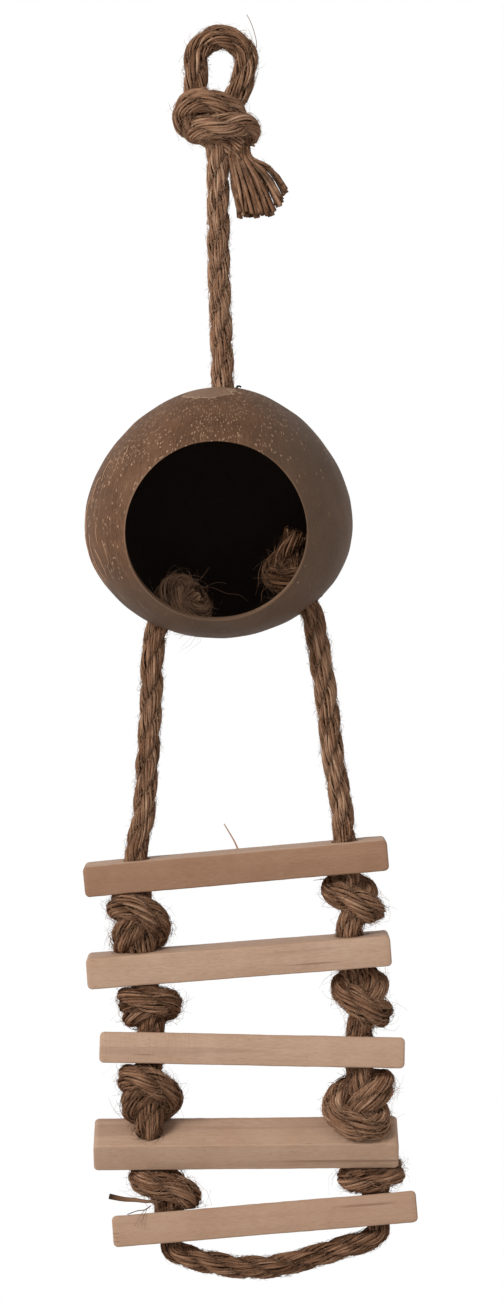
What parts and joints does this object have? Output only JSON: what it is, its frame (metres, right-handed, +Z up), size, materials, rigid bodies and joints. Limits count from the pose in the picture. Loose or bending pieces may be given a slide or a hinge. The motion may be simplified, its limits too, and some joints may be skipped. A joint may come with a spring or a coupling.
{
  "type": "hanging coconut bird house",
  "caption": "Coconut shell bird house with a round door, hung from a jute rope with a tied eye, with a knotted rope ladder of wooden rungs below it.",
  "frame": {"origin": "the seat in the top of the hanging eye, where a hook bears on the rope", "axes": "+Z is up along the hanging rope, +X is to the viewer's right along the rungs, -Y is the front, where the door is"},
  "size_m": [0.1517, 0.11, 0.5693],
  "materials": {
    "jute_rope": "matte laid rope with loose fibres",
    "coconut": "scraped shell with pale fibre flecks",
    "rung_wood": "bare sawn wood, lightly sanded"
  },
  "bodies": {
    "hanger": {"hanging_loop": "jute_rope", "hanging_knot": "jute_rope", "frayed_tail": "jute_rope"},
    "drop_rope": {"hanging_rope": "jute_rope"},
    "rope_end": {"stopper_knot": "jute_rope"},
    "house": {"coconut_shell": "coconut", "inner_knot_left": "jute_rope", "inner_knot_right": "jute_rope"},
    "ladder_ropes": {"ladder_rope_left": "jute_rope", "ladder_rope_right": "jute_rope"},
    "step_1": {"rung_1": "rung_wood", "rung_knot_1_left": "jute_rope", "rung_knot_1_right": "jute_rope"},
    "step_2": {"rung_2": "rung_wood", "rung_knot_2_left": "jute_rope", "rung_knot_2_right": "jute_rope"},
    "step_3": {"rung_3": "rung_wood", "rung_knot_3_left": "jute_rope", "rung_knot_3_right": "jute_rope"},
    "step_4": {"rung_4": "rung_wood", "rung_knot_4_left": "jute_rope", "rung_knot_4_right": "jute_rope"},
    "step_5": {"rung_5": "rung_wood", "bottom_loop": "jute_rope"}
  },
  "joints": [
    {"name": "hanger_swing", "type": "hinge", "parent": "hanger", "child": "drop_rope", "pos_m": [-0.0007, 0, -0.0467], "axis": [1, 0, 0], "range_deg": [-35, 35]},
    {"name": "house_tilt", "type": "hinge", "parent": "drop_rope", "child": "rope_end", "pos_m": [0.0015, 0, -0.1514], "axis": [0, 1, 0], "range_deg": [-25, 25]},
    {"name": "house_spin", "type": "hinge", "parent": "rope_end", "child": "house", "pos_m": [0.0015, 0, -0.1514], "axis": [0, 0, 1], "continuous": true},
    {"name": "ladder_swing", "type": "hinge", "parent": "house", "child": "ladder_ropes", "pos_m": [0.00655, -0.00053, -0.2614], "axis": [0.9869, -0.1011, 0.1257], "range_deg": [-40, 40]},
    {"name": "rung_1_rock", "type": "hinge", "parent": "ladder_ropes", "child": "step_1", "pos_m": [0.00935, -0.00033, -0.3623], "axis": [0.996, 0, 0.0889], "range_deg": [-30, 30]},
    {"name": "rung_2_rock", "type": "hinge", "parent": "step_1", "child": "step_2", "pos_m": [0.01177, -0.00049, -0.40466], "axis": [0.9971, 0, 0.0767], "range_deg": [-25, 25]},
    {"name": "rung_3_rock", "type": "hinge", "parent": "step_2", "child": "step_3", "pos_m": [0.01628, 0.00115, -0.4462], "axis": [0.9998, 0, -0.0192], "range_deg": [-20, 25]},
    {"name": "rung_4_rock", "type": "hinge", "parent": "step_3", "child": "step_4", "pos_m": [0.01573, -0.00456, -0.48965], "axis": [1, 0, 0.0087], "range_deg": [-40, 10]},
    {"name": "rung_5_rock", "type": "hinge", "parent": "step_4", "child": "step_5", "pos_m": [0.02391, 0.00163, -0.52284], "axis": [0.9965, 0, 0.0837], "range_deg": [-10, 40]}
  ]
}
